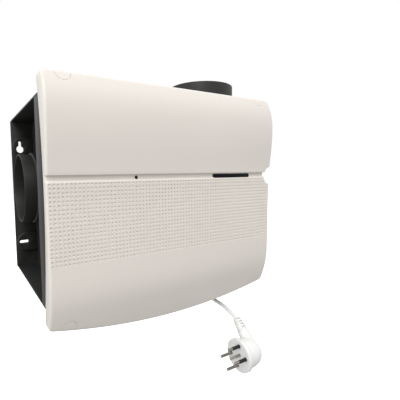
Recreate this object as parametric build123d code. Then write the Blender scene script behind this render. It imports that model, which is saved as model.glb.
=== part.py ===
from build123d import *
import math
import os

os.makedirs("parts", exist_ok=True)

# Wall-hung heat recovery unit, millimetres. X runs right along the wall, Y runs
# into the wall (the wall is Y = 0 and the front faces -Y), Z is up. The origin is
# the middle of the back panel on the wall plane.

# casing
sheet = 2.5
casing_half_w = 195.0
casing_half_h = 147.5
back_half_w = 197.0
back_t = 3.0
wall_front_y = -262.0
recess_x = -157.0
web_y = -227.0
inner_z = (-casing_half_h + sheet, casing_half_h - sheet)
inner_x = (recess_x + 3, casing_half_w - sheet)
post_x = 185.5
post_z = 138.0
drain_at = (45.0, -150.0)

# front cover
cover_half_w = 199.0
cover_top_z = 168.5
cover_corner_z = -165.0
cover_mid_z = -190.0
cover_t = 2.5
cover_corner_r = 7.0
front_curve = [(-287.5, 168.5), (-296.5, 151), (-303, 112), (-301, 76), (-296.5, 36), (-295.5, -20),
               (-295.5, -85), (-292, -130), (-282.5, -160), (-271.5, -190)]
rim_arc = [(-263.5, 176), (-282.5, 28), (-249, -196)]
groove_z = (30.5, 38.8)
groove_floor_y = -292.2
rib_back_y = -287.5
window_x = (66.5, 150.0)
window_z = (30.9, 37.7)
led_at = (-73.0, 34.4)
notch_at = (199.0, 33.0)
notch_r = 15.5
cap_r = 10.2
cap_x = 172.0
stud_z = (150.0, -146.0)

# duct connections: two spigots for 125 mm ducting and two 100 mm wall sockets
spigot_r = 61.3
spigot_bore_r = 59.0
left_spigot_at = (-68.7, 15.6)
left_spigot_x = (-196.2, -157.0)
top_spigot_at = (132.0, -180.6)
top_spigot_z = (147.5, 204.0)
socket_bore_r = 50.4
socket_r = 52.4
socket_depth = 40.0
intake_at = (-92.0, -88.0)
exhaust_at = (118.0, -80.0)

# wall fixings
fix_x = 182.0
keyhole_z = 90.3
keyhole_r = 7.0
keyhole_neck_r = 2.75
keyhole_neck_z = 103.5
slot_z = -94.8
boss_t = 6.0
slot_length = 17.6
slot_r = 3.25

# heat exchanger core, a square stack standing on its edge
core_x = 5.0
core_half = 75.0
core_y = (-250.0, -48.0)
rail_t = 1.5
rail_leg = 12.0
guide_gap = 0.8
guide_t = 1.7
plate_count = 22
filter_span = (82.0, 102.0)
filter_half = 72.0
filter_y = (-258.0, -50.0)
tilt = Pos(core_x, 0, 0) * Rot(0, -45, 0)

# fans
fan_depth = 60.0
supply_fan_r = 60.0
exhaust_fan_r = 53.0
shaft_r = 3.0
shaft_gap = 0.05
blade_count = 7

# mains lead: gland, free cord, strain relief and five-pin plug
cord_d = 7.0
gland_at = (121.0, -201.0)
cord_route = [(121, -201, -162), (121, -202.7, -179.5), (122, -212.5, -197.5), (125.5, -229.5, -208.5),
              (131, -252, -215), (135.4, -274.2, -231.1)]
plug_face = Vector(111.8, -309.1, -278.0)
plug_out = Vector(-0.998, 0.047, -0.044)
plug_up = Vector(0, 0.683, 0.731)
plug_r = 29.5
pin_spots = [(14.5, 12.0), (15.0, -10.0), (-14.5, -12.0), (-15.0, 10.0)]
pin_length = 19.0


def block(x, y, z):
    size = Box(x[1] - x[0], y[1] - y[0], z[1] - z[0])
    return Pos((x[0] + x[1]) / 2, (y[0] + y[1]) / 2, (z[0] + z[1]) / 2) * size


def rod(radius, axis, at, span):
    """A cylinder along a row axis; at holds the other two coordinates in X, Y, Z order."""
    middle = (span[0] + span[1]) / 2
    if axis == "X":
        place = Pos(middle, at[0], at[1]) * Rot(0, 90, 0)
    elif axis == "Y":
        place = Pos(at[0], middle, at[1]) * Rot(90, 0, 0)
    else:
        place = Pos(at[0], at[1], middle)
    return place * Cylinder(radius, span[1] - span[0])


def ring(outer, inner, axis, at, span):
    return rod(outer, axis, at, span) - rod(inner, axis, at, (span[0] - 1, span[1] + 1))


def group(pieces):
    return Part() + list(pieces)


def both_sides(x):
    return (-x, x)


def save(node, shape):
    shape.label = node
    export_step(shape, f"parts/{node}.step")


# ---- casing ----

def keyhole_cut(x):
    neck_z = (keyhole_z, keyhole_neck_z)
    neck = block((x - keyhole_neck_r, x + keyhole_neck_r), (-20, 5), neck_z)
    top = rod(keyhole_neck_r, "Y", (x, keyhole_neck_z), (-20, 5))
    return rod(keyhole_r, "Y", (x, keyhole_z), (-20, 5)) + neck + top


def slot_shape(x, grow, y):
    half = slot_length / 2 - slot_r
    bar = block((x - half, x + half), y, (slot_z - slot_r - grow, slot_z + slot_r + grow))
    ends = [rod(slot_r + grow, "Y", (x + side * half, slot_z), y) for side in (-1, 1)]
    return bar + ends


def fixing_boss(x, z, radius, reach=None):
    """A raised pad with a round end about (x, z); with reach it runs on inwards that far."""
    pad = rod(radius, "Y", (x, z), (-back_t - boss_t, -back_t))
    if reach is not None:
        pad += block((x, reach), (-back_t - boss_t, -back_t), (z - radius, z + radius))
    return fillet(pad.faces().sort_by(Axis.Y)[0].edges(), 3)


def back_panel():
    plate = block(both_sides(back_half_w), (-back_t, 0), both_sides(casing_half_h))
    plate = fillet(plate.edges().filter_by(Axis.Y), 5)
    left_bosses = fixing_boss(-fix_x + 4, keyhole_z + 7, 17.5, recess_x + 10)
    left_bosses += fixing_boss(-fix_x + 6, slot_z, 19.5, recess_x + 10)
    right_bosses = fixing_boss(fix_x, keyhole_z + 7, 17.5) + fixing_boss(fix_x, slot_z, 10.5)
    plate += left_bosses & block((-back_half_w, recess_x), (-20, 0), both_sides(casing_half_h))
    plate += right_bosses & block((150, inner_x[1] - 0.1), (-20, 0), both_sides(casing_half_h))
    for x in (-fix_x, fix_x):
        plate -= keyhole_cut(x)
        plate -= slot_shape(x, 0, (-20, 5))
    for at in (intake_at, exhaust_at):
        plate -= rod(socket_r + 0.1, "Y", at, (-20, 5))
    return plate


def level_panel(z):
    return block(both_sides(casing_half_w), (wall_front_y, -back_t), z)


def top_panel():
    panel = level_panel((casing_half_h - sheet, casing_half_h))
    return panel - rod(spigot_bore_r, "Z", top_spigot_at, (100, 200))


def bottom_panel():
    panel = level_panel((-casing_half_h, -casing_half_h + sheet))
    panel -= rod(8.2, "Z", gland_at, (-170, -120))
    return panel - rod(8.7, "Z", drain_at, (-170, -120))


def left_wall():
    wall = block((recess_x, recess_x + 3), (wall_front_y, -back_t), inner_z)
    return wall - rod(spigot_bore_r, "X", left_spigot_at, (-170, -140))


def right_wall():
    return block((inner_x[1], casing_half_w), (wall_front_y, -back_t), inner_z)


def left_flange():
    web = block((-casing_half_w, recess_x), (web_y - sheet, web_y), inner_z)
    lip = block((-casing_half_w, -casing_half_w + sheet), (wall_front_y, web_y - sheet), inner_z)
    ribs = [block((-casing_half_w + sheet, recess_x), (wall_front_y, web_y - sheet), (z, z + sheet))
            for z in (-90, -30, 30, 90)]
    return web + lip + ribs


def outline_face(inset):
    """The cover's outline in XZ: straight top and sides, and a bottom that bows down."""
    x = cover_half_w - inset
    top = cover_top_z - inset
    low = cover_corner_z + inset
    mid = cover_mid_z + inset
    sides = Polyline((-x, low), (-x, top), (x, top), (x, low))
    bow = ThreePointArc((-x, low), (0, mid), (x, low))
    face = make_face(Plane.XZ * (sides + bow))
    return fillet(face.vertices(), cover_corner_r - inset * 0.6)


def outline_prism(inset, y):
    return Pos(0, y[1], 0) * extrude(outline_face(inset), amount=y[1] - y[0], dir=(0, -1, 0))


def front_prism(shift, bowed_back):
    """Everything behind the cover's front surface; bowed_back ends it at the rim's bowed edge."""
    points = [(y + shift, z) for y, z in front_curve]
    front = Spline(*points)
    high, low = rim_arc[0][1], rim_arc[2][1]
    top, bottom = (points[0][0], high), (points[-1][0], low)
    if bowed_back:
        back = ThreePointArc(*rim_arc)
    else:
        back = Line((-200, high), (-200, low))
    lines = front + Line(points[0], top) + Line(top, back @ 0) + back
    lines += Line(points[-1], bottom) + Line(bottom, back @ 1)
    face = make_face(Plane.YZ * lines)
    return Pos(-cover_half_w - 1, 0, 0) * extrude(face, amount=2 * cover_half_w + 2, dir=(1, 0, 0))


def diamond(half, y):
    return tilt * block(both_sides(half), y, both_sides(half))


def filter_slots(y):
    span = (filter_span[0] - 0.7, filter_span[1] + 0.7)
    run = both_sides(filter_half + 0.7)
    north_west = tilt * block(run, y, span)
    south_west = tilt * block((-span[1], -span[0]), y, run)
    return north_west, south_west


def front_panel():
    y = (wall_front_y - sheet, wall_front_y)
    panel = outline_prism(4.2, y)
    for side in (-1, 1):
        x = sorted((side * (cover_half_w - 4.2), side * (cover_half_w - 6.7)))
        lip = block(x, (-281, y[0]), (-125, 125))
        if side > 0:
            lip -= block((180, 200), (-300, -200), (notch_at[1] - 21, notch_at[1] + 21))
        panel += lip
    panel -= diamond(core_half + 3, (-300, -200))
    for cut in filter_slots((-300, -200)):
        panel -= cut
    for x in both_sides(post_x):
        for z in both_sides(post_z):
            panel -= rod(2.0, "Y", (x, z), (-300, -200))
    return panel


def corner_posts():
    posts = []
    for x in both_sides(post_x):
        for z in both_sides(post_z):
            post = block((x - 7, x + 7), (wall_front_y, web_y - sheet - 0.5), (z - 7, z + 7))
            posts.append(post - rod(2.0, "Y", (x, z), (-300, -200)))
    return group(posts)


def panel_screws():
    screws = []
    for x in both_sides(post_x):
        for z in both_sides(post_z):
            face = wall_front_y - sheet
            head = rod(3.6, "Y", (x, z), (face - 2.2, face))
            head -= block((x - 2.6, x + 2.6), (face - 3, face - 1.1), (z - 0.5, z + 0.5))
            head -= block((x - 0.5, x + 0.5), (face - 3, face - 1.1), (z - 2.6, z + 2.6))
            screws.append(head + rod(1.9, "Y", (x, z), (face, -238)))
    return group(screws)


def stud_cups():
    face = wall_front_y - sheet
    cups = [ring(7.5, 4.4, "Y", (x, z), (face - 9, face)) for x in both_sides(cap_x) for z in stud_z]
    return group(cups)


# ---- duct connections ----

def spigot(axis, at, near, far):
    low, high = sorted((near, far))
    tube = ring(spigot_r, spigot_bore_r, axis, at, (low, high))
    step = 1 if far > near else -1
    bead_at = near + step * 14
    bead = ring(spigot_r + 3, spigot_r - 0.5, axis, at, sorted((bead_at, bead_at + step * 4)))
    foot = ring(spigot_r + 2.2, spigot_r - 0.5, axis, at, sorted((near, near + step * 3)))
    return tube + bead + foot


def wall_socket(at):
    tube = ring(socket_r, socket_bore_r, "Y", at, (-socket_depth, 0))
    return tube + ring(socket_r + 1.5, socket_r - 0.5, "Y", at, (-back_t - 3, -back_t))


# ---- foam and partitions ----

def rear_foam_block():
    foam = block(inner_x, (-47, -back_t - 3.2), inner_z)
    for at in (intake_at, exhaust_at):
        foam -= rod(socket_r + 3.6, "Y", at, (-60, 0))
    foam -= rod(spigot_bore_r, "X", left_spigot_at, (-170, -100))
    foam -= block((163, 200), (-60, 0), (78, 117))
    foam -= block((167, 200), (-60, 0), (-109, -80))
    return foam


def corner_guide(turn):
    """A V-shaped guide round one long edge of the core, for the corner at local (+, +) turned about Y."""
    inner = core_half + rail_t + guide_gap
    outer = inner + guide_t
    y = (core_y[0], core_y[1] + 1)
    leg_x = block((inner - 14, outer), y, (inner, outer))
    leg_z = block((inner, outer), y, (inner - 14, inner))
    return tilt * Rot(0, turn, 0) * (leg_x + leg_z)


guide_reach = (core_half + rail_t + guide_gap + guide_t) * math.sqrt(2)
partition_y = (core_y[0], core_y[1] + 1)


def top_partition():
    plate = block((core_x - 1.5, core_x + 1.5), partition_y, (guide_reach - 1.5, inner_z[1]))
    return corner_guide(0) + plate


def right_partition():
    plate = block((core_x + guide_reach - 1.5, inner_x[1]), partition_y, (-1.5, 1.5))
    return corner_guide(90) + plate


def bottom_partition():
    plate = block((core_x - 1.5, core_x + 1.5), partition_y, (inner_z[0], -guide_reach + 1.5))
    return corner_guide(180) + plate


def left_partition():
    start = core_x - guide_reach + 1.5
    bend = (-130.0, 0.0)
    foot = (inner_x[0], -52.0)
    plate = block((bend[0], start), partition_y, (-1.5, 1.5))
    outline = Polyline((bend[0], 1.5), (foot[0], foot[1] + 2.7), (foot[0], foot[1] - 2.7), (bend[0], -1.5),
                       close=True)
    slope = Pos(0, partition_y[1], 0) * extrude(make_face(Plane.XZ * outline), amount=202, dir=(0, -1, 0))
    slope &= block((-200, 0), partition_y, (-100, 50))
    return corner_guide(270) + plate + slope


def filter_rails():
    y = (core_y[0] - 8, core_y[1] + 1)
    rails = []
    inner_rail = (filter_span[0] - 2.2, filter_span[0] - 0.7)
    outer_rail = (filter_span[1] + 0.7, filter_span[1] + 2.2)
    for low, high in (inner_rail, outer_rail):
        for end in both_sides(filter_half - 5):
            rails.append(tilt * block((end - 5, end + 5), y, (low, high)))
            rails.append(tilt * block((-high, -low), y, (end - 5, end + 5)))
    return group(rails)


# ---- heat exchanger core ----

core_pitch = (core_y[1] - core_y[0] - 8) / (plate_count - 1)


def core_plates():
    first = core_y[0] + 4
    half = core_half - 0.3
    plates = []
    for i in range(plate_count):
        y = first + i * core_pitch
        plates.append(tilt * block(both_sides(half), (y - 0.3, y + 0.3), both_sides(half)))
    return group(plates)


def core_spacers():
    """Strips between the plates, turned a quarter in every other gap so that two air streams cross."""
    first = core_y[0] + 4
    strips = []
    for i in range(plate_count - 1):
        y = (first + i * core_pitch + 0.3, first + (i + 1) * core_pitch - 0.3)
        for place in (-72.0, -36.0, 0.0, 36.0, 72.0):
            along, across = both_sides(core_half - 0.5), (place - 1, place + 1)
            x, z = (along, across) if i % 2 else (across, along)
            strips.append(tilt * block(x, y, z))
    return group(strips)


def core_end_plates():
    half = both_sides(core_half)
    ends = [block(half, (core_y[0], core_y[0] + 3), half), block(half, (core_y[1] - 3, core_y[1]), half)]
    return group(tilt * end for end in ends)


def core_corner_rails():
    rails = []
    outer = core_half + rail_t
    for turn in (0, 90, 180, 270):
        leg_x = block((outer - rail_leg, outer), core_y, (core_half, outer))
        leg_z = block((core_half, outer), core_y, (outer - rail_leg, core_half))
        rails.append(tilt * Rot(0, turn, 0) * (leg_x + leg_z))
    return group(rails)


cap_face_y = -268.0


def core_cap():
    cap = diamond(core_half - 1, (cap_face_y, core_y[0]))
    return cap - block((core_x - 14, core_x + 14), (cap_face_y - 1, cap_face_y + 3), (-4, 4))


def core_pull_strap():
    grip = block((core_x - 13, core_x + 13), (cap_face_y - 8, cap_face_y - 6.5), (-3.5, 3.5))
    legs = [block((core_x + s - 0.75, core_x + s + 0.75), (cap_face_y - 6.5, cap_face_y + 3), (-3.5, 3.5))
            for s in (-12.25, 12.25)]
    return grip + legs


# ---- air filters ----

def filter_place(shape, side):
    return tilt * shape if side == "extract" else tilt * Rot(0, -90, 0) * shape


def filter_frame(side):
    x, z = both_sides(filter_half), filter_span
    frame = block(x, filter_y, z)
    frame -= block((x[0] + 3, x[1] - 3), (filter_y[0] + 3, filter_y[1] - 3), (z[0] - 1, z[1] + 1))
    return filter_place(frame, side)


def filter_media(side):
    """Pleated mat: a zigzag sheet between the frame's long sides."""
    low, high = filter_span[0] + 1.5, filter_span[1] - 1.5
    x0, x1 = -filter_half + 3.1, filter_half - 3.1
    folds = 16
    step = (x1 - x0) / folds
    top = [(x0 + i * step, high if i % 2 else low + 1.6) for i in range(folds + 1)]
    under = [(x, z - 1.6) for x, z in reversed(top)]
    face = make_face(Plane.XZ * Polyline(*(top + under), close=True))
    run = filter_y[1] - filter_y[0] - 6.2
    mat = Pos(0, filter_y[1] - 3.1, 0) * extrude(face, amount=run, dir=(0, -1, 0))
    return filter_place(mat, side)


def filter_cap(side):
    y = (filter_y[0] - 9, filter_y[0])
    cap = block(both_sides(filter_half), y, filter_span)
    tab = block((-12, 12), (y[0] - 7, y[0]), (filter_span[0] + 8.5, filter_span[0] + 11.5))
    return filter_place(cap + tab, side)


# ---- fans ----

def fan_duct(outer):
    return Pos(0, 0, fan_depth / 2) * (Cylinder(outer, fan_depth) - Cylinder(outer - 2, fan_depth + 2))


def fan_motor(outer):
    body = rod(20, "Z", (0, 0), (34, 56))
    struts = [Rot(0, 0, 45 + 90 * i) * block((18, outer), (-2, 2), (41, 45)) for i in range(4)]
    body += (Part() + struts) & rod(outer - 2, "Z", (0, 0), (30, 60))
    return body - rod(shaft_r + shaft_gap, "Z", (0, 0), (30, 60))


def fan_impeller(outer):
    hub = rod(20, "Z", (0, 0), (8, 32)) + rod(shaft_r, "Z", (0, 0), (32, 54))
    reach = outer - 5
    blade = Pos((18 + reach) / 2, 0, 20) * Rot(32, 0, 0) * Box(reach - 18, 22, 1.8)
    return hub + [Rot(0, 0, 360 / blade_count * i) * blade for i in range(blade_count)]


supply_place = Pos(top_spigot_at[0], top_spigot_at[1], inner_z[1] - fan_depth)
exhaust_place = Pos(exhaust_at[0], -socket_depth - fan_depth, exhaust_at[1]) * Rot(-90, 0, 0)


# ---- water, electrics ----

def condensate_tray():
    x, y, z = (12, 78), (-245, -115), (inner_z[0], -126)
    tray = block(x, y, z) - block((x[0] + 2, x[1] - 2), (y[0] + 2, y[1] - 2), (z[0] + 2.5, z[1] + 1))
    return tray - rod(8, "Z", drain_at, (-170, -100))


def drain_spout():
    pipe = ring(10, 8, "Z", drain_at, (-174, -casing_half_h))
    return pipe + ring(8.7, 8, "Z", drain_at, (-casing_half_h - 0.5, inner_z[0]))


tray_face_y = wall_front_y - sheet
tray_x = (122.0, 188.0)
tray_z = (-124.0, -52.0)


def control_tray():
    y = (tray_face_y - 14, tray_face_y)
    hollow_x = (tray_x[0] + 2, tray_x[1] - 2)
    hollow_z = (tray_z[0] + 2, tray_z[1] - 2)
    return block(tray_x, y, tray_z) - block(hollow_x, (y[0] - 1, y[1] - 2), hollow_z)


board_y = (tray_face_y - 6.6, tray_face_y - 5)


def control_board():
    x = (tray_x[0] + 3, tray_x[1] - 3)
    z = (tray_z[0] + 20, tray_z[1] - 3)
    board = block(x, board_y, z)
    corners = [(cx, cz) for cx in (x[0] + 4, x[1] - 4) for cz in (z[0] + 4, z[1] - 4)]
    feet = [rod(2, "Y", corner, (board_y[1], tray_face_y - 2)) for corner in corners]
    return board + feet


def board_components():
    face = board_y[0]
    relay = block((130, 144), (face - 6, face), (-80, -62))
    chip = block((152, 162), (face - 1.6, face), (-74, -64))
    capacitors = [rod(3.6, "Y", (x, -92), (face - 5.5, face)) for x in (134, 144, 154)]
    choke = block((166, 180), (face - 5, face), (-90, -76))
    return group([relay, chip, choke] + capacitors)


def terminal_block():
    y = (tray_face_y - 12, tray_face_y - 2)
    terminals = block((130, 180), y, (-120, -108))
    for i in range(5):
        x = 135 + i * 10
        terminals -= rod(2.4, "Y", (x, -114), (y[0] - 1, y[0] + 5))
        terminals -= block((x - 2.5, x + 2.5), (y[0] + 2.5, y[1] - 2), (-121, -117.5))
    return terminals


def humidity_sensor():
    body = block((-150, -132), (-215, -195), (120, 132))
    return body - [block((-147 + i * 4, -145 + i * 4), (-212, -198), (119, 122)) for i in range(4)]


def cable_gland():
    body = ring(8, cord_d / 2 + 0.1, "Z", gland_at, (-157, -138))
    hexagon = extrude(RegularPolygon(11.5, 6), amount=5)
    flange = Pos(gland_at[0], gland_at[1], -casing_half_h - 5) * hexagon
    flange -= rod(cord_d / 2 + 0.1, "Z", gland_at, (-200, -100))
    nose = Pos(gland_at[0], gland_at[1], -159.5) * Cone(5.2, 8, 5)
    return body + flange + nose


def gland_nut():
    nut = Pos(gland_at[0], gland_at[1], inner_z[0]) * extrude(RegularPolygon(12, 6), amount=5)
    return nut - rod(8.05, "Z", gland_at, (-160, -100))


# ---- mains lead and plug ----

def cord_radii():
    points = [Vector(*p) for p in cord_route]
    radii = []
    for a, b, c in zip(points, points[1:], points[2:]):
        first, second = b - a, c - b
        turn = math.radians(first.get_angle(second))
        radii.append(0.45 * min(first.length, second.length) / math.tan(turn / 2))
    return radii


def cord():
    radii = cord_radii()
    path = FilletPolyline(*cord_route, radius=radii)
    print("cord bend radii", [round(r, 1) for r in radii], "length", round(path.length, 1))
    section = Plane(origin=path @ 0, z_dir=path % 0) * Circle(cord_d / 2)
    tube = sweep(section, path=path)
    print("cord volume over section times length", tube.volume / (math.pi * cord_d ** 2 / 4 * path.length))
    return tube


plug_plane = Plane(origin=plug_face, x_dir=plug_up.cross(plug_out), z_dir=plug_out)


def in_plug(shape):
    return plug_plane.location * shape


neck_axis = (5.0, -24.0)


def plug_body():
    face = Pos(0, 0, -3.5) * Cylinder(plug_r, 7)
    dome = Pos(0, 0, -7 - 13.5) * Cone(17, plug_r - 1, 27)
    arm = Pos(neck_axis[0], 18, neck_axis[1]) * Rot(90, 0, 0) * Cylinder(10.5, 36)
    body = face + dome + arm
    for x, y in pin_spots:
        body -= Pos(x, y, 0) * Cylinder(2.4, 12)
    body -= Pos(6, 0, 0) * Box(2.0, 7.0, 12)
    return in_plug(body)


def plug_strain_relief():
    """Tapered ribbed sleeve between the plug's arm and the cord."""
    length = 22.0
    start = 36.0
    sleeve = Pos(neck_axis[0], start + length / 2, neck_axis[1]) * Rot(-90, 0, 0) * Cone(8.5, 5.2, length)
    for i in range(4):
        y = start + 4 + i * 4.6
        side = 1 if i % 2 else -1
        sleeve -= Pos(neck_axis[0] + side * 6, y, neck_axis[1]) * Box(6, 2, 30)
    return in_plug(sleeve)


def plug_pins():
    pins = []
    for x, y in pin_spots:
        pin = Pos(x, y, pin_length / 2 - 3) * Cylinder(2.0, pin_length + 6)
        tip = Pos(x, y, pin_length + 0.75) * Cone(2.0, 1.1, 1.5)
        pins.append(in_plug(pin + tip))
    return group(pins)


def pin_sleeves():
    sleeves = []
    for x, y in pin_spots[:2]:
        tube = Pos(x, y, 5) * (Cylinder(2.5, 10) - Cylinder(2.0, 12))
        sleeves.append(in_plug(tube))
    return group(sleeves)


def earth_blade():
    blade = Pos(6, 0, pin_length / 2 - 2) * Box(1.8, 6.5, pin_length + 4)
    return in_plug(blade)


# ---- front cover ----

def cap_cylinder(radius, x, upper):
    z = 165.7 if upper else -164.8
    y = (-330, -287.5) if upper else (-330, -274.5)
    return rod(radius, "Y", (x, z), y)


def cover_blank():
    return front_prism(0, True) & outline_prism(0, (-330, -200))


def front_cover():
    hollow = front_prism(cover_t, False) & outline_prism(cover_t, (-330, -200))
    hollow -= block(both_sides(cover_half_w), (-330, rib_back_y), (24.5, 45))
    hollow -= rod(notch_r + 2, "Y", notch_at, (-330, -200))
    shell = cover_blank() - hollow
    shell -= rod(notch_r, "Y", notch_at, (-330, -200))
    shell -= block((-210, 210), (-330, groove_floor_y), groove_z)
    shell -= block(window_x, (-330, -200), window_z)
    shell -= rod(2.8, "Y", led_at, (-330, -200))
    for x in both_sides(cap_x):
        for upper in (True, False):
            shell -= cap_cylinder(cap_r + 0.2, x, upper)
    return shell


def cover_corner_caps():
    skin = cover_blank() - (front_prism(cover_t, False) & outline_prism(cover_t, (-330, -200)))
    caps = [skin & cap_cylinder(cap_r, x, upper) for x in both_sides(cap_x) for upper in (True, False)]
    return group(caps)


def cover_studs():
    behind = front_prism(cover_t, False)
    studs = []
    for x in both_sides(cap_x):
        for z in stud_z:
            stem = rod(4, "Y", (x, z), (-330, -268)) & behind
            base = rod(6.5, "Y", (x, z), (-330, -281)) & behind
            studs.append(stem + base)
    return group(studs)


def display_window():
    gap = 0.15
    x = (window_x[0] + gap, window_x[1] - gap)
    z = (window_z[0] + gap, window_z[1] - gap)
    lens = block(x, (groove_floor_y + 0.3, rib_back_y), z)
    flange = block((x[0] - 4, x[1] + 4), (rib_back_y, rib_back_y + 1.5), (z[0] - 4, z[1] + 4))
    return lens + flange


def status_led():
    return rod(2.6, "Y", led_at, (groove_floor_y + 0.6, rib_back_y + 1.5))


def display_board():
    y = (rib_back_y + 1.5, rib_back_y + 3.1)
    board = block((-86, 160), y, (24, 45))
    for x in (-60, 20):
        board += rod(2.5, "Y", (x, 41), (rib_back_y, y[0]))
    return board


nodes = {
    "back_panel": back_panel(),
    "top_panel": top_panel(),
    "bottom_panel": bottom_panel(),
    "left_wall": left_wall(),
    "right_wall": right_wall(),
    "left_flange": left_flange(),
    "front_panel": front_panel(),
    "corner_posts": corner_posts(),
    "panel_screws": panel_screws(),
    "stud_cups": stud_cups(),
    "left_spigot": spigot("X", left_spigot_at, left_spigot_x[1], left_spigot_x[0]),
    "top_spigot": spigot("Z", top_spigot_at, top_spigot_z[0], top_spigot_z[1]),
    "intake_socket": wall_socket(intake_at),
    "exhaust_socket": wall_socket(exhaust_at),
    "rear_foam_block": rear_foam_block(),
    "top_partition": top_partition(),
    "right_partition": right_partition(),
    "bottom_partition": bottom_partition(),
    "left_partition": left_partition(),
    "filter_rails": filter_rails(),
    "core_plates": core_plates(),
    "core_spacers": core_spacers(),
    "core_end_plates": core_end_plates(),
    "core_corner_rails": core_corner_rails(),
    "core_cap": core_cap(),
    "core_pull_strap": core_pull_strap(),
    "supply_fan_duct": supply_place * fan_duct(supply_fan_r),
    "supply_fan_motor": supply_place * fan_motor(supply_fan_r),
    "supply_fan_impeller": supply_place * fan_impeller(supply_fan_r),
    "exhaust_fan_duct": exhaust_place * fan_duct(exhaust_fan_r),
    "exhaust_fan_motor": exhaust_place * fan_motor(exhaust_fan_r),
    "exhaust_fan_impeller": exhaust_place * fan_impeller(exhaust_fan_r),
    "condensate_tray": condensate_tray(),
    "drain_spout": drain_spout(),
    "control_tray": control_tray(),
    "control_board": control_board(),
    "board_components": board_components(),
    "terminal_block": terminal_block(),
    "humidity_sensor": humidity_sensor(),
    "cable_gland": cable_gland(),
    "gland_nut": gland_nut(),
    "mains_cord": cord(),
    "plug_strain_relief": plug_strain_relief(),
    "plug_body": plug_body(),
    "plug_pins": plug_pins(),
    "pin_sleeves": pin_sleeves(),
    "earth_blade": earth_blade(),
    "front_cover": front_cover(),
    "cover_corner_caps": cover_corner_caps(),
    "cover_studs": cover_studs(),
    "display_window": display_window(),
    "status_led": status_led(),
    "display_board": display_board(),
}
for side in ("extract", "intake"):
    nodes[f"{side}_filter_frame"] = filter_frame(side)
    nodes[f"{side}_filter_media"] = filter_media(side)
    nodes[f"{side}_filter_cap"] = filter_cap(side)

for node, shape in nodes.items():
    save(node, shape)
print(len(nodes), "nodes")
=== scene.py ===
# Wall-hung heat recovery unit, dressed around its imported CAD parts. X right, Y into the wall, Z up, metres.
import math

import bmesh
import bpy
import numpy as np
from mathutils import Matrix, Vector


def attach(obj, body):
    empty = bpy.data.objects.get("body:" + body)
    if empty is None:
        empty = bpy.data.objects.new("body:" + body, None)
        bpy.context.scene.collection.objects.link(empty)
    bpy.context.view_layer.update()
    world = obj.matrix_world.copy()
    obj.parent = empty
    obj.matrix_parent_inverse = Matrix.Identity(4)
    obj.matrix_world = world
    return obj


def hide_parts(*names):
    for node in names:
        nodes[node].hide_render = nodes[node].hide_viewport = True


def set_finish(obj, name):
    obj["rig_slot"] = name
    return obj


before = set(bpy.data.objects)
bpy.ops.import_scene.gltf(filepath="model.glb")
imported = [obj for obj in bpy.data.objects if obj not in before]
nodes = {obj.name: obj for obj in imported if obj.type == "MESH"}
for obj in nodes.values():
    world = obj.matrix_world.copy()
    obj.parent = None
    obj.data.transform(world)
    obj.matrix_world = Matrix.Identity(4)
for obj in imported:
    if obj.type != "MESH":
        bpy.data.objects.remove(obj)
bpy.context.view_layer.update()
mm = 0.001
print("frame: %d CAD nodes" % len(nodes))

cameraSpec = {
    "place": (-0.28758, -0.69885, 0.04041),
    "yaw": 30.40, "pitch": -4.91, "roll": -0.75,
    "lens": 29.215,
    "shift": (0.1215, 0.0020),
}


def makeCamera(spec):
    yaw, pitch, roll = (math.radians(spec[key]) for key in ("yaw", "pitch", "roll"))
    ahead = Vector((math.sin(yaw) * math.cos(pitch), math.cos(yaw) * math.cos(pitch), math.sin(pitch)))
    level = Vector((math.cos(yaw), -math.sin(yaw), 0))
    above = level.cross(ahead)
    right = math.cos(roll) * level + math.sin(roll) * above
    up = math.cos(roll) * above - math.sin(roll) * level
    data = bpy.data.cameras.new("camera")
    data.lens = spec["lens"]
    data.shift_x, data.shift_y = spec["shift"]
    data.clip_start, data.clip_end = 0.02, 30
    camera = bpy.data.objects.new("camera", data)
    bpy.context.scene.collection.objects.link(camera)
    turn = Matrix((right, up, -ahead)).transposed().to_4x4()
    camera.matrix_world = Matrix.Translation(Vector(spec["place"])) @ turn
    bpy.context.scene.camera = camera


makeCamera(cameraSpec)

cordSpec = {
    "route": [(121, -201, -162), (121, -202.7, -179.5), (122, -212.5, -197.5),
              (127.5, -229.5, -208.5), (135, -252, -215), (141.4, -274.2, -231.1)],
    "diameter": 7.0,
}


def makeCord(spec):
    curve = bpy.data.curves.new("mainsCord", "CURVE")
    curve.dimensions = "3D"
    spline = curve.splines.new("NURBS")
    spline.points.add(len(spec["route"]) - 1)
    for point, at in zip(spline.points, spec["route"]):
        point.co = (*(Vector(at) * mm), 1)
        point.radius = spec["diameter"] / 2 * mm  # the bevel is 1 m, thinned to the cord by this
    spline.order_u = 3
    spline.use_endpoint_u = True
    spline.resolution_u = 16
    curve.bevel_depth = 1.0
    curve.bevel_resolution = 6
    curve.use_fill_caps = True
    cord = bpy.data.objects.new("mainsCord", curve)
    bpy.context.scene.collection.objects.link(cord)
    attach(cord, "housing")
    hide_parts("mains_cord")
    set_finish(cord, "cord_white")
    return cord


mainsCord = makeCord(cordSpec)
print("camera and cord placed")


# Measures that go into the mesh helpers are in millimetres.
def finishPiece(piece, body, slotName, stands=(), smoothAngle=35):
    piece.data.shade_smooth()
    piece.data.set_sharp_from_angle(angle=math.radians(smoothAngle))
    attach(piece, body)
    if stands:
        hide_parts(*stands)
    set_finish(piece, slotName)


def applyModifiers(piece):
    graph = bpy.context.evaluated_depsgraph_get()
    made = bpy.data.meshes.new_from_object(piece.evaluated_get(graph))
    piece.modifiers.clear()
    piece.data = made


def addBevel(piece, width, segments=3):
    bevel = piece.modifiers.new("roundedEdges", "BEVEL")
    bevel.width = width * mm
    bevel.segments = segments
    bevel.limit_method = "ANGLE"
    bevel.angle_limit = math.radians(40)


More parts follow.
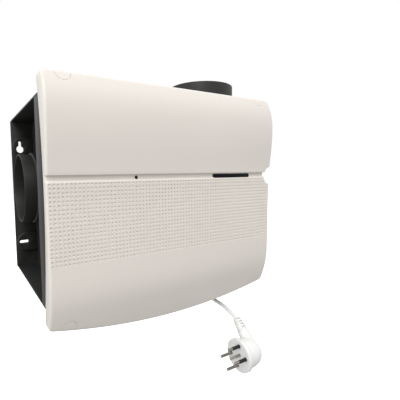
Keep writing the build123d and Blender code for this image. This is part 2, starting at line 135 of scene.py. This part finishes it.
def cutAway(piece, cutters, operation="DIFFERENCE"):
    for cutter in cutters:
        boolean = piece.modifiers.new("cut", "BOOLEAN")
        boolean.object = cutter
        boolean.operation = operation
        boolean.solver = "MANIFOLD"
    bpy.context.view_layer.update()
    applyModifiers(piece)
    for cutter in cutters:
        bpy.data.objects.remove(cutter)


def looseMesh(name, bm):
    mesh = bpy.data.meshes.new(name)
    bmesh.ops.recalc_face_normals(bm, faces=bm.faces)
    bm.to_mesh(mesh)
    bm.free()
    made = bpy.data.objects.new(name, mesh)
    bpy.context.scene.collection.objects.link(made)
    return made


def latheShape(profile, place, axis, segments=128):
    # profile is (radius, height) points of a closed section, turned about axis through place
    turned = "XYZ".index(axis)
    along, across, over = (Vector(np.roll((1, 0, 0), turned + step).tolist()) for step in range(3))
    verts, faces = [], []
    count = len(profile)
    for i in range(segments):
        turn = 2 * math.pi * i / segments
        out = math.cos(turn) * across + math.sin(turn) * over
        for radius, height in profile:
            verts.append(Vector(place) + out * radius + along * height)
    for i in range(segments):
        j = (i + 1) % segments
        for k in range(count):
            m = (k + 1) % count
            faces.append((i * count + k, i * count + m, j * count + m, j * count + k))
    return verts, faces


# Front cover: one moulded shell, lofted ring by ring from its outline and its bowed face.
coverSpec = {
    "halfWidth": 199.0, "top": 168.5, "cornerRadius": 7.0,
    "bottomBow": [(-199.0, -165.0), (0.0, -190.0), (199.0, -165.0)],  # x, z
    "wall": 2.5,
    "frontRound": 4.2,
    "roundSteps": 8, "bottomSteps": 24,
    # y, z of the bowed face and of the rim behind it
    "bow": [(-287.5, 168.5), (-296.5, 151), (-303, 112), (-301, 76), (-296.5, 36),
            (-295.5, -20), (-295.5, -85), (-292, -130), (-282.5, -160), (-271.5, -190)],
    "rim": [(-263.5, 176), (-282.5, 28), (-249, -196)],
    "groove": (30.5, 38.8), "grooveFloor": -292.2, "upperLip": 0.8, "lowerLip": 3.9,
    "rib": (45.0, 24.5), "ribBack": -287.5,
    "window": ((66.5, 150.0), (30.9, 37.7)),  # x, z
    "led": (-73.0, 34.4), "ledRadius": 2.8,
    "notch": (199.0, 33.0), "notchRadius": 15.5, "notchWall": 2.0,
    "dimplePitch": 5.4, "dimpleColumns": 73, "dimpleRows": 20, "dimpleTop": 27.3,
    "dimpleRadius": 1.8, "dimpleDepth": 1.5,
    "capX": 172.0, "capRadius": 10.2, "caps": ((165.7, -287.5), (-164.8, -274.5)),  # z, how deep
    "capGapWidth": 0.3,
    # y where cutters start, where those through the face stop and where those through it all stop
    "ahead": -330.0, "pastFace": -270.0, "behind": -200.0,
}


def naturalSpline(points):
    # a smooth cubic through (y, z) points, which gives y at a height
    y, z = np.array(points[::-1], float).T
    h = np.diff(z)
    slopes = np.diff(y) / h
    last = len(z) - 1
    system = np.eye(len(z))
    bends = np.zeros(len(z))
    for i in range(1, last):
        system[i, i - 1:i + 2] = h[i - 1], 2 * (h[i - 1] + h[i]), h[i]
        bends[i] = 6 * (slopes[i] - slopes[i - 1])
    m = np.linalg.solve(system, bends)

    def at(value):
        i = int(np.clip(np.searchsorted(z, value) - 1, 0, last - 1))
        above, below, w = z[i + 1] - value, value - z[i], h[i]
        curved = (m[i] * above ** 3 + m[i + 1] * below ** 3) / (6 * w)
        return curved + (y[i] / w - m[i] * w / 6) * above + (y[i + 1] / w - m[i + 1] * w / 6) * below
    return at


frontAt = naturalSpline(coverSpec["bow"])


def circleThrough(p, q, r):
    (ax, ay), (bx, by), (cx, cy) = p, q, r
    d = 2 * (ax * (by - cy) + bx * (cy - ay) + cx * (ay - by))
    a2, b2, c2 = ax * ax + ay * ay, bx * bx + by * by, cx * cx + cy * cy
    x = (a2 * (by - cy) + b2 * (cy - ay) + c2 * (ay - by)) / d
    y = (a2 * (cx - bx) + b2 * (ax - cx) + c2 * (bx - ax)) / d
    return x, y, math.hypot(ax - x, ay - y)


rimCircle = circleThrough(*coverSpec["rim"])
bottomCircle = circleThrough(*coverSpec["bottomBow"])


def rimAt(z):
    y0, z0, r = rimCircle
    side = -1 if coverSpec["rim"][1][0] < y0 else 1
    return y0 + side * math.sqrt(max(r * r - (z - z0) ** 2, 0))


def quarter(i, steps):
    return math.radians(90 * i / steps)


def upperLevels(lowest):
    # close together where the face bends most
    spans = ((158, 121, -4.0), (120, 100, -2.0), (98, lowest, -4.0))
    return [(z, 0.0) for span in spans for z in np.arange(*span)]


def coverLevels():
    # (z, depth) down the cover's side; depth is how far the face lies behind the plain bow
    low, high = coverSpec["groove"]
    floor = coverSpec["grooveFloor"]
    levels = upperLevels(42)
    lip = coverSpec["upperLip"]
    for t in (quarter(i, 4) for i in range(5)):
        levels.append((high + lip * (1 - math.sin(t)), lip * (1 - math.cos(t))))
    levels.append((high, floor - frontAt(high)))
    roll = coverSpec["lowerLip"]
    for t in (quarter(i, 8) for i in range(9)):
        z = low - 2.0 + roll * math.cos(t)
        levels.append((z, (floor - frontAt(z)) * (1 - math.sin(t))))
    return levels + [(z, 0.0) for z in np.arange(24, -156, -6.0)]


def hollowLevels():
    # the same for the inside, which stands back behind the groove
    levels = upperLevels(46)
    high, low = coverSpec["rib"]
    back = coverSpec["ribBack"] - coverSpec["wall"]
    levels += [(high, 0.0), (high, back - frontAt(high)), (low, back - frontAt(low)), (low, 0.0)]
    return levels + [(z, 0.0) for z in np.arange(20, -156, -6.0)]


def halfOutline(inset, levels):
    # right half from the top corner round to the bottom's middle, as (x, z, depth)
    x = coverSpec["halfWidth"] - inset
    top = coverSpec["top"] - inset
    r = max(coverSpec["cornerRadius"] - inset * 0.6, 2.0)
    cx, cz, br = bottomCircle
    br -= inset
    steps = coverSpec["roundSteps"]
    half = [(x - r + r * math.sin(t), top - r + r * math.cos(t), 0.0)
            for t in (quarter(i, steps) for i in range(steps + 1))]
    half += [(x, z, depth) for z, depth in levels]
    fx = x - r
    fz = cz - math.sqrt((br - r) ** 2 - fx ** 2)
    turn = math.atan2(cz - fz, fx)
    half += [(fx + r * math.cos(turn * i / steps), fz - r * math.sin(turn * i / steps), 0.0)
             for i in range(steps + 1)]
    start = math.atan2(half[-1][0], cz - half[-1][1])
    for i in range(1, coverSpec["bottomSteps"] + 1):
        a = start * (1 - i / coverSpec["bottomSteps"])
        half.append((br * math.sin(a), cz - br * math.cos(a), 0.0))
    return half


def loftCover(rings):
    # rings of right halves as (x, y, z); the first and last are closed by strips across
    verts, faces = [], []
    count = len(rings[0])
    total = 2 * count - 1
    for ring in rings:
        verts += ring + [(-x, y, z) for x, y, z in ring[:-1][::-1]]
    for k in range(len(rings) - 1):
        for i in range(total):
            j = (i + 1) % total
            faces.append((k * total + i, k * total + j, (k + 1) * total + j, (k + 1) * total + i))
    for k, flip in ((0, True), (len(rings) - 1, False)):
        for i in range(count - 1):
            strip = [k * total + i, k * total + i + 1]
            if i < count - 2:
                strip.append(k * total + total - 2 - i)
            strip.append(k * total + total - 1 - i)
            faces.append(tuple(strip[::-1] if flip else strip))
    return verts, faces


def solidMesh(name, verts, faces):
    bm = bmesh.new()
    made = [bm.verts.new([c * mm for c in v]) for v in verts]
    bm.verts.ensure_lookup_table()
    for face in faces:
        try:
            bm.faces.new([made[i] for i in face])
        except ValueError:
            pass
    bmesh.ops.remove_doubles(bm, verts=bm.verts, dist=1e-6)
    bmesh.ops.dissolve_degenerate(bm, edges=bm.edges, dist=1e-7)
    return looseMesh(name, bm)


def tubeMesh(name, outer, inner, x, z, span, segments=64):
    # a tube, or with no inner radius a rod, lying along Y
    profile = [(inner, span[0]), (outer, span[0]), (outer, span[1]), (inner, span[1])]
    return solidMesh(name, *latheShape(profile, (x, 0, z), "Y", segments))


def pillMesh(name, x, z, y):
    # a bar with round ends, lying along X
    r = (z[1] - z[0]) / 2
    mid = (z[0] + z[1]) / 2
    loop = []
    for cx, a in ((x[1] - r, -90), (x[0] + r, 90)):
        for i in range(13):
            t = math.radians(a + 180 * i / 12)
            loop.append((cx + r * math.cos(t), mid + r * math.sin(t)))
    count = len(loop)
    verts = [(px, py, pz) for py in y for px, pz in loop]
    faces = [tuple(range(count)), tuple(range(count, 2 * count))[::-1]]
    faces += [(i, (i + 1) % count, count + (i + 1) % count, count + i) for i in range(count)]
    return solidMesh(name, verts, faces)


def dimpleCutter(spec):
    # one ball for each dimple, all in one mesh
    ballRadius = (spec["dimpleRadius"] ** 2 + spec["dimpleDepth"] ** 2) / (2 * spec["dimpleDepth"])
    bm = bmesh.new()
    bmesh.ops.create_uvsphere(bm, u_segments=12, v_segments=8, radius=ballRadius)
    bmesh.ops.rotate(bm, verts=bm.verts, matrix=Matrix.Rotation(math.radians(90), 3, "X"))
    bmesh.ops.recalc_face_normals(bm, faces=bm.faces)
    ball = np.array([v.co for v in bm.verts])
    ballFaces = [[v.index for v in f.verts] for f in bm.faces]
    bm.free()
    verts, faces = [], []
    for row in range(spec["dimpleRows"]):
        z = spec["dimpleTop"] - row * spec["dimplePitch"]
        y = frontAt(z) - ballRadius + spec["dimpleDepth"]
        for column in range(spec["dimpleColumns"]):
            x = (column - (spec["dimpleColumns"] - 1) / 2) * spec["dimplePitch"]
            start = len(verts) * len(ball)
            verts.append((ball + (x, y, z)) * mm)
            faces += [[start + i for i in face] for face in ballFaces]
    mesh = bpy.data.meshes.new("dimples")
    mesh.from_pydata(np.concatenate(verts).tolist(), [], faces)
    made = bpy.data.objects.new("dimples", mesh)
    bpy.context.scene.collection.objects.link(made)
    return made


def makeCover(spec):
    levels = coverLevels()
    r, steps = spec["frontRound"], spec["roundSteps"]
    rings = []
    for t in (quarter(i, steps) for i in range(steps, -1, -1)):
        inset, drop = r * (1 - math.cos(t)), r * (1 - math.sin(t))
        rings.append([(x, frontAt(z) + depth + drop, z) for x, z, depth in halfOutline(inset, levels)])
    for inset, ahead in ((0.0, 0.7), (0.2, 0.2), (0.7, 0.0)):  # the rim's softened edge
        rings.append([(x, rimAt(z) - ahead, z) for x, z, depth in halfOutline(inset, levels)])
    cover = solidMesh("frontCover", *loftCover(rings))
    half = halfOutline(spec["wall"], hollowLevels())
    inner = [[(x, frontAt(z) + spec["wall"] + depth, z) for x, z, depth in half],
             [(x, rimAt(z) + 6, z) for x, z, depth in half]]
    hollow = solidMesh("hollow", *loftCover(inner))
    face, through = (spec["ahead"], spec["pastFace"]), (spec["ahead"], spec["behind"])
    notch, wall = spec["notchRadius"], spec["notchWall"]
    cutAway(hollow, [tubeMesh("notchWall", notch + wall, 0, *spec["notch"], through)])
    cutters = [hollow, tubeMesh("notchCut", notch, 0, *spec["notch"], through),
               pillMesh("windowCut", *spec["window"], face),
               tubeMesh("lampCut", spec["ledRadius"], 0, *spec["led"], face, 32)]
    outer = spec["capRadius"] + 0.2
    for x in (-spec["capX"], spec["capX"]):
        for z, back in spec["caps"]:
            reach = (spec["ahead"], back)
            cutters.append(tubeMesh("capGap", outer, outer - spec["capGapWidth"], x, z, reach))
    cutAway(cover, cutters + [dimpleCutter(spec)])
    finishPiece(cover, "cover", "cover_white", ("front_cover", "cover_corner_caps"), 32)
    return cover


frontCover = makeCover(coverSpec)
print("cover: %d faces" % len(frontCover.data.polygons))

# Display window and lamp: dark moulded inserts sunk in the groove.
displaySpec = {
    "gap": 0.15, "face": -292.6, "back": -286.0, "edge": 0.4,
    "lampFace": -291.0, "lampDepth": 5.6,
}


def makeDisplay(spec):
    (x0, x1), (z0, z1) = coverSpec["window"]
    gap, depth = spec["gap"], spec["lampDepth"]
    sides, heights = (x0 + gap, x1 - gap), (z0 + gap, z1 - gap)
    window = pillMesh("displayWindow", sides, heights, (spec["face"], spec["back"]))
    addBevel(window, spec["edge"])
    applyModifiers(window)
    finishPiece(window, "cover", "window_black", ("display_window",))
    x, z = coverSpec["led"]
    r = coverSpec["ledRadius"] - gap
    profile = [(0.0, depth), (r, depth), (r, 0.5), (r - 0.25, 0.15), (r * 0.6, 0.0), (0.0, 0.0)]
    lamp = solidMesh("statusLamp", *latheShape(profile, (x, spec["lampFace"], z), "Y", 32))
    finishPiece(lamp, "cover", "led_clear", ("status_led",))


makeDisplay(displaySpec)

# Casing: bent sheet panels with folded, slightly rounded edges. Each has its edge radius.
casingSpec = {
    "back_panel": ("backPanel", 0.8),
    "left_wall": ("leftWall", 0.5),
    "right_wall": ("rightWall", 0.5),
    "top_panel": ("topPanel", 0.5),
    "bottom_panel": ("bottomPanel", 0.5),
    "left_flange": ("leftFlange", 0.4),
    "front_panel": ("frontPanel", 0.4),
}


def roundedCopy(node, name, width):
    bm = bmesh.new()
    bm.from_mesh(nodes[node].data)
    bmesh.ops.remove_doubles(bm, verts=bm.verts, dist=2e-6)
    bmesh.ops.dissolve_limit(bm, angle_limit=math.radians(0.6), verts=bm.verts, edges=bm.edges)
    piece = looseMesh(name, bm)
    addBevel(piece, width, 2)
    applyModifiers(piece)
    finishPiece(piece, "housing", "casing_black", (node,), 30)


for node, (name, width) in casingSpec.items():
    roundedCopy(node, name, width)

ductSpec = {
    "radius": 61.3, "bore": 59.0, "lip": 1.1,
    "beadAt": 16.0, "beadHalf": 3.0, "beadRise": 3.0,
    "foot": [(1.2, 0.0), (1.2, 2.2), (1.6, 3.0), (0.4, 3.6)],  # beyond the radius, and how high
    "left": ("leftSpigot", "left_spigot", (-157.0, -68.7, 15.6), "X", -1, 39.2),
    "top": ("topSpigot", "top_spigot", (132.0, -180.6, 147.5), "Z", 1, 56.5),
}


def makeSpigot(spec, name, node, place, axis, way, length):
    r, bore, lip = spec["radius"], spec["bore"], spec["lip"]
    beadAt, beadHalf = spec["beadAt"], spec["beadHalf"]
    outside = [(bore, 0.0)] + [(r + rise, height) for rise, height in spec["foot"]]
    outside.append((r, beadAt - beadHalf))
    for i in range(1, 12):
        t = math.radians(180 * i / 12)
        outside.append((r + spec["beadRise"] * math.sin(t) ** 0.8, beadAt - beadHalf * math.cos(t)))
    outside += [(r, beadAt + beadHalf), (r, length - lip)]
    mid, half = (r + bore) / 2, (r - bore) / 2
    for i in range(1, 7):
        t = math.radians(180 * i / 6)
        outside.append((mid + half * math.cos(t), length - lip + lip * math.sin(t)))
    outside.append((bore, length / 2))
    profile = [(radius, way * height) for radius, height in outside]
    piece = solidMesh(name, *latheShape(profile, place, axis, 160))
    finishPiece(piece, "housing", "casing_black", (node,), 30)


for side in ("left", "top"):
    makeSpigot(ductSpec, *ductSpec[side])
print("casing and spigots made")

# Plug: round five-pin head, smooth elbow, ribbed sleeve where the cord leaves.
# In its own frame, Z points out of the pin face and Y points along the arm, towards the cord.
plugSpec = {
    "face": (111.8, -309.1, -278.0), "out": (-0.998, 0.047, -0.044), "up": (0.0, 0.683, 0.731),
    "radius": 28.8,
    # radius and height down the head: first the disc's, as steps in from its radius, then the body's
    "disc": [(1.2, 0.0), (0.3, -0.4), (0.0, -1.4), (0.0, -5.6), (0.6, -6.8), (2.0, -7.6), (3.0, -9.0)],
    "back": [(25.6, -15.0), (24.6, -23.0), (22.6, -31.0), (18.8, -36.8), (13.0, -39.8), (0.0, -40.6)],
    "crisp": [(1.0, 0.0), (0.2, -0.5), (0.0, -1.5), (0.0, -5.4), (0.5, -6.4), (1.5, -6.9)],
    "neck": (5.0, -30.0),  # x, z of the arm, which lies along the plug's Y
    "arm": [(10.2, -6.0), (10.4, 10.0), (10.4, 24.0), (10.0, 32.0), (9.2, 35.0), (7.8, 36.0)],
    "voxel": 0.8, "melts": 10,
    "ribs": 4, "ribPitch": 5.0, "firstRib": 36.6, "ribRadius": 8.9, "ribTaper": 0.4,
    "slit": (2.6, 0.7, 3.4), "firstSlit": 38.6, "slitOut": 7.0,
    "pins": [(14.5, 12.0), (15.0, -10.0), (-14.5, -12.0), (-15.0, 10.0)], "sleeved": 2,
    "pinRadius": 2.4, "pinLength": 22.0, "holeRadius": 3.9, "holeDepth": 2.5,
    "sleeveRadius": 2.9, "sleeveLength": 15.0,
    "blade": (6.0, 0.0, 1.0, 2.3),  # x, y, and half its size along each
}


def plugFrame(spec):
    out = Vector(spec["out"]).normalized()
    across = Vector(spec["up"]).cross(out).normalized()
    up = out.cross(across)
    turn = Matrix((across, up, out)).transposed().to_4x4()
    return Matrix.Translation(Vector(spec["face"])) @ turn


plugPlace = plugFrame(plugSpec)


def inPlug(verts):
    return [tuple(plugPlace @ Vector(v)) for v in verts]


def turnedOnPlug(name, profile, place, axis="Z", segments=48):
    verts, faces = latheShape(profile, place, axis, segments)
    return solidMesh(name, inPlug(verts), faces)


def makePlugBody(spec):
    r = spec["radius"]
    nx, nz = spec["neck"]
    head = [(0.0, 0.0)] + [(r - step, z) for step, z in spec["disc"]] + spec["back"]
    body = turnedOnPlug("plugBody", head, (0, 0, 0))
    ends = [(0.0, spec["arm"][0][1])], [(0.0, spec["arm"][-1][1])]
    arm = turnedOnPlug("arm", ends[0] + spec["arm"] + ends[1], (nx, 0, nz), "Y", 32)
    cutAway(body, [arm], "UNION")
    melt = body.modifiers.new("melt", "REMESH")
    melt.mode = "VOXEL"
    melt.voxel_size = spec["voxel"] * mm
    soften = body.modifiers.new("soften", "SMOOTH")
    soften.factor = 0.5
    soften.iterations = spec["melts"]
    applyModifiers(body)
    rim = [(r - step, z) for step, z in spec["crisp"]]
    face = turnedOnPlug("face", [(0.0, 0.0)] + rim + [(0.0, rim[-1][1])], (0, 0, 0), segments=96)
    cutAway(body, [face], "UNION")
    wide, deep = spec["holeRadius"], spec["holeDepth"]
    hole = [(0.0, -deep), (wide, -deep), (wide, 3.0), (0.0, 3.0)]
    cutAway(body, [turnedOnPlug("hole", hole, (x, y, 0)) for x, y in spec["pins"]])
    finishPiece(body, "housing", "cord_white", ("plug_body",), 40)
    return body


def makeRelief(spec):
    nx, nz = spec["neck"]
    pitch = spec["ribPitch"]
    sleeve = [(0.0, 28.0), (9.4, 28.0), (9.2, 36.0)]
    for i in range(spec["ribs"]):
        y = spec["firstRib"] + pitch * i
        r = spec["ribRadius"] - spec["ribTaper"] * i
        sleeve += [(r - 0.7, y - 0.4), (r, y), (r - 0.1, y + 4.0), (r - 0.7, y + 4.4)]
    sleeve += [(6.6, 57.0), (5.2, 58.0), (0.0, 58.0)]
    relief = turnedOnPlug("strainRelief", sleeve, (nx, 0, nz), "Y")
    wide, long, high = spec["slit"]
    faces = [(0, 1, 3, 2), (4, 6, 7, 5), (0, 4, 5, 1), (2, 3, 7, 6), (0, 2, 6, 4), (1, 5, 7, 3)]
    slits = []
    for i in range(spec["ribs"]):
        for side, late in ((-1, 0.0), (1, 1.2)):
            x, y = nx + side * spec["slitOut"], spec["firstSlit"] + pitch * i + late
            corners = [(x + dx, y + dy, nz + dz)
                       for dx in (-wide, wide) for dy in (-long, long) for dz in (-high, high)]
            slits.append(solidMesh("slit", inPlug(corners), faces))
    cutAway(relief, slits)
    finishPiece(relief, "housing", "cord_white", ("plug_strain_relief",), 40)
    return relief


def makePins(spec):
    r, long = spec["pinRadius"], spec["pinLength"]
    tip = [(r, long - 0.2), (r - 0.15, long + 0.6), (r - 0.6, long + 1.2), (0.0, long + 1.5)]
    outer, end = spec["sleeveRadius"], spec["sleeveLength"]
    sleeve = [(r, 0.0), (outer, 0.0), (outer, end - 0.5), (outer - 0.2, end), (r, end)]
    for i, (x, y) in enumerate(spec["pins"]):
        pin = turnedOnPlug("plugPin%d" % (i + 1), [(0.0, -6.0), (r, -6.0)] + tip, (x, y, 0), segments=32)
        finishPiece(pin, "housing", "pin_metal", ("plug_pins",) if i == 0 else ())
        if i < spec["sleeved"]:
            tube = turnedOnPlug("pinSleeve%d" % (i + 1), sleeve, (x, y, 0), segments=32)
            finishPiece(tube, "housing", "sleeve_black", ("pin_sleeves",) if i == 0 else ())


def makeBlade(spec):
    x, y, halfX, halfY = spec["blade"]
    long = spec["pinLength"]
    corners = []
    for z, inset in ((-4.0, 0.0), (long - 0.4, 0.0), (long + 1.0, 0.5)):
        dx, dy = halfX - inset, halfY - inset
        corners += [(x - dx, y - dy, z), (x + dx, y - dy, z), (x + dx, y + dy, z), (x - dx, y + dy, z)]
    faces = [(0, 1, 2, 3), (11, 10, 9, 8)]
    for k in (0, 4):
        faces += [(k + i, k + (i + 1) % 4, k + 4 + (i + 1) % 4, k + 4 + i) for i in range(4)]
    blade = solidMesh("earthBlade", inPlug(corners), faces)
    addBevel(blade, 0.2)
    applyModifiers(blade)
    finishPiece(blade, "housing", "pin_metal", ("earth_blade",))


plugBody = makePlugBody(plugSpec)
strainRelief = makeRelief(plugSpec)
makePins(plugSpec)
makeBlade(plugSpec)


class Wire:
    # one socket of a material; sums on values add Math nodes, node() adds any other kind
    def __init__(self, tree, socket=None):
        self.tree = tree
        self.socket = socket

    def node(self, kind, settings=None, sockets=None, output=0):
        made = self.tree.nodes.new(kind)
        for key, value in (settings or {}).items():
            if key == "stops":
                ramp = made.color_ramp
                while len(ramp.elements) < len(value):
                    ramp.elements.new(0.5)
                for element, (at, colour) in zip(ramp.elements, value):
                    element.position, element.color = at, colour
            else:
                setattr(made, key, value)
        for key, value in (sockets or {}).items():
            if isinstance(value, Wire):
                self.tree.links.new(value.socket, made.inputs[key])
            else:
                made.inputs[key].default_value = value
        return Wire(self.tree, made.outputs[output] if len(made.outputs) else None)

    def work(self, operation, first, second):
        return self.node("ShaderNodeMath", {"operation": operation}, {0: first, 1: second})

    def __add__(self, other):
        return self.work("ADD", self, other)

    def __radd__(self, other):
        return self.work("ADD", other, self)

    def __sub__(self, other):
        return self.work("SUBTRACT", self, other)

    def __rsub__(self, other):
        return self.work("SUBTRACT", other, self)

    def __mul__(self, other):
        return self.work("MULTIPLY", self, other)

    def __rmul__(self, other):
        return self.work("MULTIPLY", other, self)

    def between(self, low, high):
        # this value from 0 to 1 turns into a colour from low to high
        return self.node("ShaderNodeMix", {"data_type": "RGBA"}, {0: self, 6: low, 7: high}, 2)


def startMaterial(name):
    material = bpy.data.materials.new(name)
    material.use_nodes = True
    material.node_tree.nodes.clear()
    return material, Wire(material.node_tree)


def endMaterial(wire, surface):
    wire.node("ShaderNodeOutputMaterial", None, {"Surface": surface})


def colour(red, green, blue):
    # display values 0 to 255 as the linear colour of a surface
    def linear(v):
        v /= 255
        return v / 12.92 if v <= 0.04045 else ((v + 0.055) / 1.055) ** 2.4
    return (linear(red), linear(green), linear(blue), 1.0)


def shade(c, factor):
    return (c[0] * factor, c[1] * factor, c[2] * factor, 1.0)


def places(wire):
    return wire.node("ShaderNodeTexCoord", output=3)


def noise(wire, scale, detail=3.0, rough=0.5):
    sockets = {"Vector": places(wire), "Scale": scale, "Detail": detail, "Roughness": rough}
    return wire.node("ShaderNodeTexNoise", {"noise_dimensions": "3D"}, sockets)


def bumpFrom(wire, height, strength, distance):
    return wire.node("ShaderNodeBump", None, {"Strength": strength, "Distance": distance, "Height": height})


# Finishes: base colour, how much it drifts, roughness, grain per metre and grain depth in mm.
finishSpec = {
    "cover_white": {"base": (227, 221, 213), "drift": 0.03, "rough": 0.33, "grain": 900,
                    "depth": 0.012, "coat": 0.15},
    "window_black": {"base": (7, 7, 8), "drift": 0.1, "rough": 0.2, "grain": 60,
                     "depth": 0.002, "coat": 0.05, "shine": 0.2},
    "led_clear": {"base": (10, 10, 11), "drift": 0.1, "rough": 0.25, "grain": 60,
                  "depth": 0.002, "coat": 0.1, "shine": 0.3},
    "board_green": {"base": (32, 84, 52), "drift": 0.2, "rough": 0.4, "grain": 700,
                    "depth": 0.05, "coat": 0.3},
    "casing_black": {"base": (36, 36, 34), "drift": 0.2, "rough": 0.5, "shine": 0.4, "grain": 1400,
                     "depth": 0.05, "coat": 0.0},
    "screw_steel": {"base": (168, 168, 166), "drift": 0.1, "rough": 0.32, "grain": 500,
                    "depth": 0.02, "metal": 1.0},
    "foam_grey": {"base": (84, 86, 90), "drift": 0.25, "rough": 0.95, "grain": 420, "depth": 0.5},
    "core_film": {"base": (206, 212, 216), "drift": 0.08, "rough": 0.28, "grain": 250,
                  "depth": 0.05, "coat": 0.2},
    "core_frame": {"base": (48, 50, 54), "drift": 0.1, "rough": 0.45, "grain": 800, "depth": 0.03},
    "strap_webbing": {"base": (44, 60, 94), "drift": 0.2, "rough": 0.85, "weave": 620, "depth": 0.35},
    "filter_card": {"base": (214, 206, 186), "drift": 0.1, "rough": 0.85, "grain": 600, "depth": 0.08},
    "filter_fleece": {"base": (232, 232, 228), "drift": 0.12, "rough": 0.95, "grain": 900, "depth": 0.4},
    "filter_cap_grey": {"base": (120, 122, 124), "drift": 0.08, "rough": 0.5, "grain": 900, "depth": 0.02},
    "fan_motor_black": {"base": (26, 26, 28), "drift": 0.15, "rough": 0.45, "grain": 900, "depth": 0.03},
    "impeller_grey": {"base": (96, 98, 102), "drift": 0.08, "rough": 0.4, "grain": 900, "depth": 0.02},
    "component_dark": {"base": (34, 34, 38), "drift": 0.2, "rough": 0.4, "grain": 500, "depth": 0.03},
    "terminal_beige": {"base": (208, 196, 166), "drift": 0.08, "rough": 0.45, "grain": 700, "depth": 0.02},
    "gland_grey": {"base": (128, 130, 132), "drift": 0.08, "rough": 0.5, "grain": 900, "depth": 0.03},
    "cord_white": {"base": (238, 238, 236), "drift": 0.03, "rough": 0.42, "grain": 1200, "depth": 0.02},
    "pin_metal": {"base": (150, 146, 138), "drift": 0.08, "rough": 0.16, "grain": 900,
                  "depth": 0.01, "metal": 1.0},
    "sleeve_black": {"base": (18, 18, 19), "drift": 0.1, "rough": 0.4, "grain": 900, "depth": 0.02},
}


def makeFinish(name, spec):
    material, wire = startMaterial(name)
    base = colour(*spec["base"])
    cloud = noise(wire, 9.0, 4.0)
    drift = spec["drift"]
    tint = cloud.between(shade(base, 1 - drift), shade(base, min(1 + drift, 1 / max(base[:3]))))
    if "weave" in spec:
        sockets = {"Vector": places(wire), "Scale": spec["weave"] / 6}
        waveX, waveZ = (wire.node("ShaderNodeTexWave", {"bands_direction": way}, sockets, 1) for way in "XZ")
        height = waveX * waveZ
        tint = height.between(shade(base, 0.7), shade(base, 1.2))
    else:
        height = noise(wire, spec["grain"], 2.0)
    rub = noise(wire, 38.0, 5.0, 0.6)
    rough = rub * 0.12 + (spec["rough"] - 0.06)
    bump = bumpFrom(wire, height, 1.0, spec["depth"] * mm)
    sockets = {"Base Color": tint, "Roughness": rough, "Metallic": spec.get("metal", 0.0),
               "Coat Weight": spec.get("coat", 0.0), "Coat Roughness": 0.2, "Normal": bump,
               "IOR": 1.48, "Specular IOR Level": spec.get("shine", 0.5)}
    endMaterial(wire, wire.node("ShaderNodeBsdfPrincipled", None, sockets))
    return material


finishes = {name: makeFinish("finish_" + name, spec) for name, spec in finishSpec.items()}
slotOf = {name: node.data.materials[0].name for name, node in nodes.items() if node.data.materials}


def dress(piece, slotName):
    piece.data.materials.clear()
    piece.data.materials.append(finishes[slotName])


for piece in [o for o in bpy.context.scene.objects if o.type in ("MESH", "CURVE")]:
    if "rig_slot" in piece:
        dress(piece, piece["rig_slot"])
    elif piece.name in slotOf:
        dress(piece, slotOf[piece.name])
    else:
        print("no finish for", piece.name)
for node in nodes.values():
    node.data.shade_smooth()
    node.data.set_sharp_from_angle(angle=math.radians(30))
print("finishes: %d" % len(finishes))

studioSpec = {
    "floorHeight": -0.62, "floorHalf": 9.0, "domeRadius": 8.0,
    "surround": [(0.0, 0.42), (0.46, 0.50), (0.62, 0.92), (1.0, 1.15)],  # (height up the sky, brightness)
    "key": {"place": (-1.3, -1.7, 1.9), "size": 1.4, "power": 28.0},
    "fill": {"place": (-2.1, -0.35, 0.25), "size": 1.2, "power": 7.0},
}


def makeStudio(spec):
    scene = bpy.context.scene
    scene.view_settings.view_transform = "Standard"
    world = bpy.data.worlds.new("studio")
    world.use_nodes = True
    wire = Wire(world.node_tree)
    wire.tree.nodes.clear()
    around = wire.node("ShaderNodeTexCoord", output=0)
    height = wire.node("ShaderNodeSeparateXYZ", None, {"Vector": around}, 2)
    stops = [(at, (v, v, v, 1)) for at, v in spec["surround"]]
    sky = wire.node("ShaderNodeValToRGB", {"stops": stops}, {"Fac": height * 0.5 + 0.5})
    glow = wire.node("ShaderNodeBackground", None, {"Color": sky})
    wire.node("ShaderNodeOutputWorld", None, {"Surface": glow})
    scene.world = world
    bm = bmesh.new()
    bmesh.ops.create_grid(bm, x_segments=1, y_segments=1, size=spec["floorHalf"])
    floor = looseMesh("floor", bm)
    floor.location.z = spec["floorHeight"]
    bm = bmesh.new()
    bmesh.ops.create_icosphere(bm, subdivisions=5, radius=spec["domeRadius"])
    dome = looseMesh("backdrop", bm)
    for stagePiece in (floor, dome):
        stagePiece.visible_diffuse = False
        stagePiece.visible_glossy = False
        stagePiece.visible_transmission = False
    dome.visible_shadow = False
    for stagePiece, base, glow in ((floor, 0.8, 0.55), (dome, 0.0, 1.0)):
        material, wire = startMaterial(stagePiece.name)
        tint = noise(wire, 3.0).between((base, base, base, 1), shade((base, base, base), 0.99))
        endMaterial(wire, wire.node("ShaderNodeBsdfPrincipled", None, {
            "Base Color": tint, "Roughness": 0.9, "Specular IOR Level": 0.0,
            "Emission Color": (1, 1, 1, 1), "Emission Strength": glow}))
        stagePiece.data.materials.append(material)
    for name in ("key", "fill"):
        light = spec[name]
        data = bpy.data.lights.new(name, "AREA")
        data.shape = "SQUARE"
        data.size = light["size"]
        data.energy = light["power"]
        lamp = bpy.data.objects.new(name, data)
        scene.collection.objects.link(lamp)
        place = Vector(light["place"])
        aim = (-place).to_track_quat("-Z", "Y").to_matrix().to_4x4()
        lamp.matrix_world = Matrix.Translation(place) @ aim


makeStudio(studioSpec)
print("studio lit")
